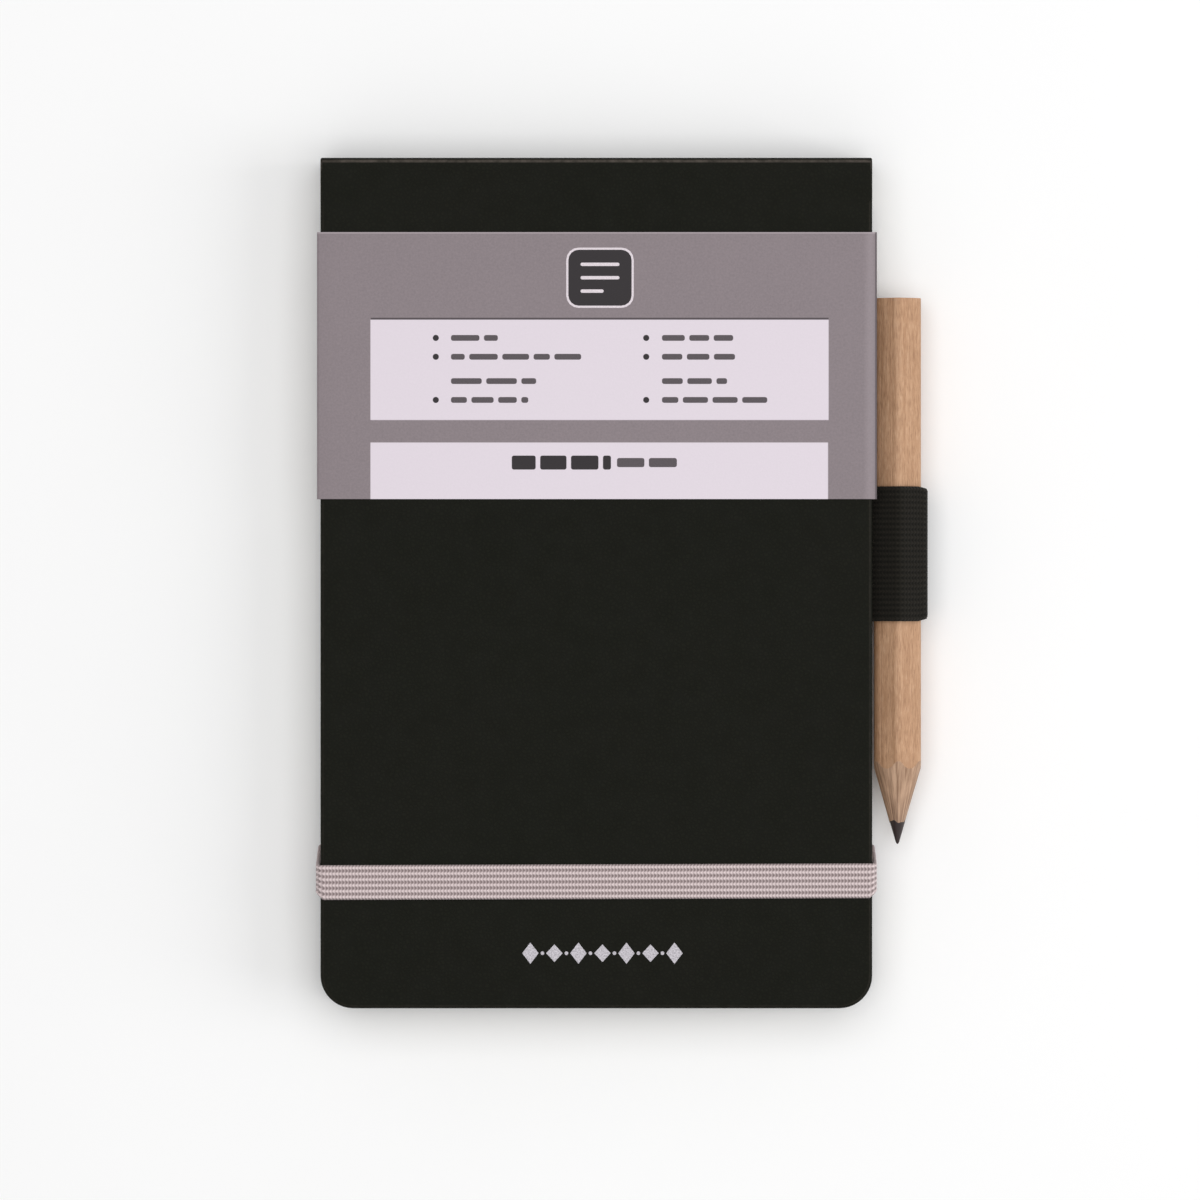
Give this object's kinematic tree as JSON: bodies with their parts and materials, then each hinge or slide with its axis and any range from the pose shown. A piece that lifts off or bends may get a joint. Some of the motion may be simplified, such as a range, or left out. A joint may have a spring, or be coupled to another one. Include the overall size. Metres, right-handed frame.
{
  "type": "pocket notebook",
  "caption": "Hard-covered pocket notebook opening over its top edge, with an elastic closing strap, a side loop holding a pencil, and a card band round the front cover.",
  "frame": {"origin": "centre of the back cover's outer face, which is the face the book lies on", "axes": "+X across the book towards the pencil loop, +Y up the cover towards the bound edge, +Z out through the front cover"},
  "size_m": [0.1011, 0.14, 0.0141],
  "materials": {
    "leatherette": "fine-grained black-brown imitation leather, satin",
    "grey_board": "plain grey board, matt",
    "endpaper": "uncoated off-white paper",
    "page_paper": "uncoated off-white paper with pale ruled lines",
    "gauze": "woven lining cloth",
    "band_card": "printed card, matt mauve grey with near-white panels",
    "strap_elastic": "ribbed woven elastic, light mauve grey",
    "loop_elastic": "ribbed woven elastic, black",
    "pencil_wood": "bare sanded wood",
    "graphite": "dark grey graphite, soft sheen"
  },
  "bodies": {
    "book": {"back_cover_wrap": "leatherette", "back_board": "grey_board", "back_pastedown": "endpaper", "back_flyleaf": "endpaper", "page_section_01": "page_paper", "page_section_02": "page_paper", "page_section_03": "page_paper", "page_section_04": "page_paper", "page_section_05": "page_paper", "page_section_06": "page_paper", "page_section_07": "page_paper", "page_section_08": "page_paper", "page_section_09": "page_paper", "page_section_10": "page_paper", "leaf_gutter": "page_paper", "spine_lining": "gauze", "spine_board": "grey_board", "spine_wrap": "leatherette", "strap_tail_left": "strap_elastic", "strap_tail_right": "strap_elastic", "pencil_loop": "loop_elastic"},
    "front_cover": {"front_board": "grey_board", "front_cover_wrap": "leatherette", "front_pastedown": "endpaper", "front_joint": "leatherette", "front_endpaper_fold": "endpaper"},
    "front_flyleaf": {"front_flyleaf": "endpaper"},
    "first_leaf": {"first_leaf": "page_paper"},
    "second_leaf": {"second_leaf": "page_paper"},
    "card_band": {"card_band": "band_card"},
    "strap": {"strap": "strap_elastic"},
    "pencil": {"pencil_wood": "pencil_wood", "pencil_lead": "graphite"}
  },
  "joints": [
    {"name": "front_cover_hinge", "type": "hinge", "parent": "book", "child": "front_cover", "pos_m": [0, 0.067, 0.01309], "axis": [-1, 0, 0], "range_deg": [0, 185], "deforming": ["front_joint", "front_endpaper_fold"]},
    {"name": "front_flyleaf_turn", "type": "hinge", "parent": "book", "child": "front_flyleaf", "pos_m": [0, 0.0612, 0.01026], "axis": [-1, 0, 0], "range_deg": [0, 151]},
    {"name": "first_leaf_turn", "type": "hinge", "parent": "book", "child": "first_leaf", "pos_m": [0, 0.0606, 0.01008], "axis": [-1, 0, 0], "range_deg": [0, 103]},
    {"name": "second_leaf_turn", "type": "hinge", "parent": "book", "child": "second_leaf", "pos_m": [0, 0.06, 0.00991], "axis": [-1, 0, 0], "range_deg": [0, 42]},
    {"name": "strap_slip", "type": "slide", "parent": "book", "child": "strap", "axis": [0, -1, 0], "range_m": [0, 0.026], "deforming": ["strap"]},
    {"name": "band_slide", "type": "slide", "parent": "front_cover", "child": "card_band", "axis": [0, -1, 0], "range_m": [0, 0.13]},
    {"name": "pencil_slide", "type": "slide", "parent": "book", "child": "pencil", "axis": [0, 1, 0], "range_m": [0, 0.062]}
  ],
  "couplings": [
    {"joint": "front_flyleaf_turn", "follows": "front_cover_hinge", "ratio": 0.81},
    {"joint": "first_leaf_turn", "follows": "front_cover_hinge", "ratio": 0.55},
    {"joint": "second_leaf_turn", "follows": "front_cover_hinge", "ratio": 0.22},
    {"joint": "strap_slip", "follows": "front_cover_hinge", "m_per_rad": 0.008}
  ]
}
